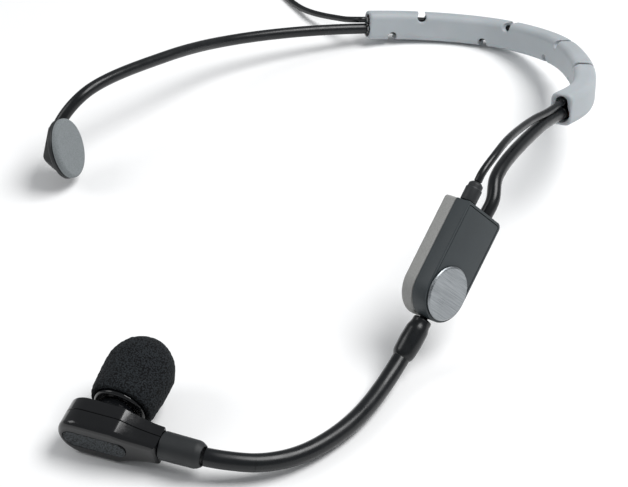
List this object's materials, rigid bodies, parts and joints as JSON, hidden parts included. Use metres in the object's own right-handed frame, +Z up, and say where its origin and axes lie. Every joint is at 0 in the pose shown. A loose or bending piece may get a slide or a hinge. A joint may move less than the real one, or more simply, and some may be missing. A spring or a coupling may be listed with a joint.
{
  "type": "headset microphone",
  "caption": "Behind-the-neck headset microphone with sprung wire band, grey neck sleeve, temple pads, gooseneck boom, foam windscreen and wound-up cable with plug.",
  "frame": {"origin": "on the table that the headset lies on, under the middle of its bounding box without the free cable", "axes": "+Z up from the table, +Y from the wearer's face to the nape, +X to the wearer's left, which is the boom's side"},
  "size_m": [0.1895, 0.2976, 0.0486],
  "materials": {
    "sleeve": "matt moulded elastomer",
    "jacket": "smooth, slightly glossy rubber jacket",
    "spring_steel": "drawn wire",
    "cable": "matt cable jacket",
    "housing": "satin paint on moulded plastic",
    "holder": "fine moulded texture",
    "temple_foam": "closed foam with a skin",
    "badge": "brushed, with a polished rim",
    "board": "solder mask",
    "chip": "moulded epoxy",
    "capacitor": "ceramic body",
    "nickel": "satin nickel plate",
    "relief_rubber": "matt moulded rubber",
    "mic_gloss": "polished black plastic",
    "grille": "woven mesh",
    "windscreen_foam": "open-cell foam",
    "strap": "hook-and-loop tape",
    "insert": "moulded insulator",
    "contact": "gold flash"
  },
  "bodies": {
    "neck": {"neck_sleeve": "sleeve", "band_jacket": "jacket", "band_core": "spring_steel", "sleeve_cable": "cable", "free_cable_lead": "cable", "cable_coil": "cable", "coil_tie": "strap", "free_cable_tail": "cable", "plug_boot": "relief_rubber", "plug_shell": "nickel", "plug_insert": "insert", "plug_contact_1": "contact", "plug_contact_2": "contact", "plug_contact_3": "contact", "plug_contact_4": "contact"},
    "right_arm": {"pad_arm_jacket": "jacket", "pad_arm_core": "spring_steel", "pad_holder": "holder", "right_temple_pad": "temple_foam"},
    "left_arm": {"boom_arm_jacket": "jacket", "boom_arm_core": "spring_steel", "arm_cable": "cable", "cable_relief": "relief_rubber", "housing_tray": "housing", "housing_cover": "housing", "badge": "badge", "left_temple_pad": "temple_foam", "circuit_board": "board", "amplifier_chip": "chip", "filter_capacitor": "capacitor", "coupling_capacitor": "capacitor", "wire_clamp": "nickel", "clamp_screw_1": "nickel", "clamp_screw_2": "nickel", "gooseneck_collar": "jacket"},
    "boom_root": {"gooseneck_1": "jacket", "gooseneck_core_1": "spring_steel"},
    "boom_middle": {"gooseneck_2": "jacket", "gooseneck_core_2": "spring_steel"},
    "boom_tip": {"gooseneck_3": "jacket", "gooseneck_core_3": "spring_steel"},
    "microphone": {"mic_boot": "relief_rubber", "mic_lower_shell": "mic_gloss", "mic_upper_shell": "mic_gloss", "rear_grille": "grille", "capsule_collar": "mic_gloss", "mic_capsule": "nickel", "capsule_screen": "nickel", "capsule_gasket": "relief_rubber"},
    "windscreen_body": {"windscreen": "windscreen_foam"},
    "latch": {"plug_latch": "insert"}
  },
  "joints": [
    {"name": "right_arm_flex", "type": "hinge", "parent": "neck", "child": "right_arm", "pos_m": [-0.03768, 0.10355, 0.0061], "axis": [0.113, -0.1769, -0.9777], "range_deg": [-4, 14], "stiffness_Nm_per_rad": 0.8},
    {"name": "left_arm_flex", "type": "hinge", "parent": "neck", "child": "left_arm", "pos_m": [0.06716, 0.0385, 0.03369], "axis": [-0.113, 0.1769, 0.9777], "range_deg": [-4, 14], "stiffness_Nm_per_rad": 0.8},
    {"name": "gooseneck_root_lift", "type": "hinge", "parent": "left_arm", "child": "boom_root", "pos_m": [0.06896, -0.05734, 0.0063], "axis": [-0.9998, -0.0204, 0], "range_deg": [-22, 22]},
    {"name": "gooseneck_middle_swing", "type": "hinge", "parent": "boom_root", "child": "boom_middle", "pos_m": [0.06981, -0.07978, 0.00301], "axis": [0, -0.0046, 1], "range_deg": [-22, 22]},
    {"name": "gooseneck_tip_lift", "type": "hinge", "parent": "boom_middle", "child": "boom_tip", "pos_m": [0.0651, -0.10198, 0.00361], "axis": [-0.9122, 0.4097, 0], "range_deg": [-22, 22]},
    {"name": "microphone_swing", "type": "hinge", "parent": "boom_tip", "child": "microphone", "pos_m": [0.04915, -0.11725, 0.0069], "axis": [0.0632, 0.0219, 0.9978], "range_deg": [-22, 22]},
    {"name": "windscreen_pull", "type": "slide", "parent": "microphone", "child": "windscreen_body", "axis": [-0.1851, 0.9525, 0.2419], "range_m": [0, 0.024]},
    {"name": "latch_press", "type": "slide", "parent": "neck", "child": "latch", "axis": [0, 0, -1], "range_m": [0, 0.0006], "stiffness_N_per_m": 600}
  ]
}
